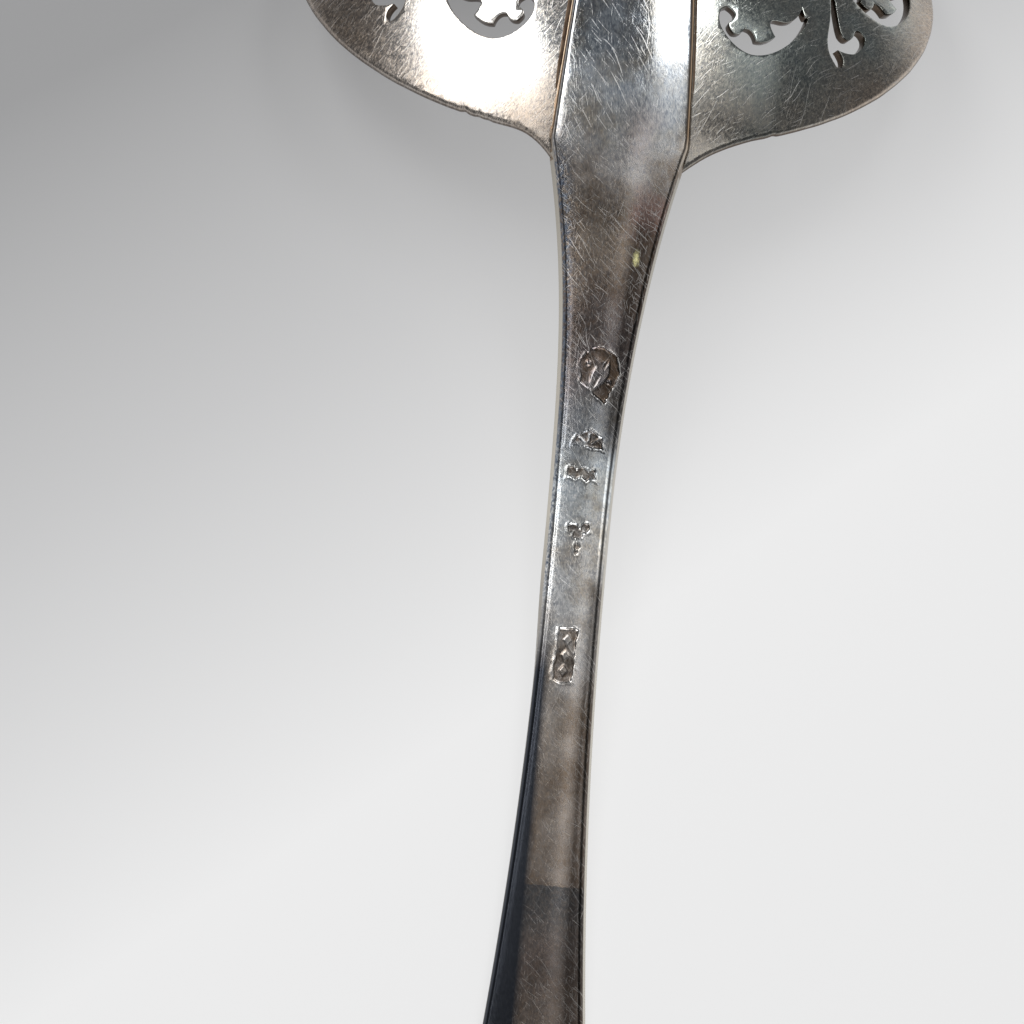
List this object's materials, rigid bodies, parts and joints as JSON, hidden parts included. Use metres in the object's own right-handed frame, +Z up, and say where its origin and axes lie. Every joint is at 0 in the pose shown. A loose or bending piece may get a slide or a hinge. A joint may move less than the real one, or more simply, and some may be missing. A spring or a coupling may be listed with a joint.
{
  "type": "sifter spoon",
  "caption": "Sugar sifter spoon: wide oval bowl pierced with scrolls and flowers, soldered to the tongue of a long flat handle with a rounded end.",
  "frame": {"origin": "on the ground, under the middle of the spoon's length and width; the spoon lies face down, on the tip of its rim and on the worn flat near the handle's end", "axes": "+Z up, out of the spoon's back; +Y along the spoon from the handle's end to the bowl's tip; +X across the bowl"},
  "size_m": [0.08, 0.1912, 0.0287],
  "materials": {
    "bowl_silver": "worn silver, densely scratched, with thin brown tarnish towards the rim",
    "handle_silver": "worn silver, scratched, with grey-brown tarnish down the back",
    "solder": "dull brown silver solder"
  },
  "bodies": {
    "root": {"bowl": "bowl_silver", "handle": "handle_silver", "solder_joint": "solder"}
  },
  "joints": []
}
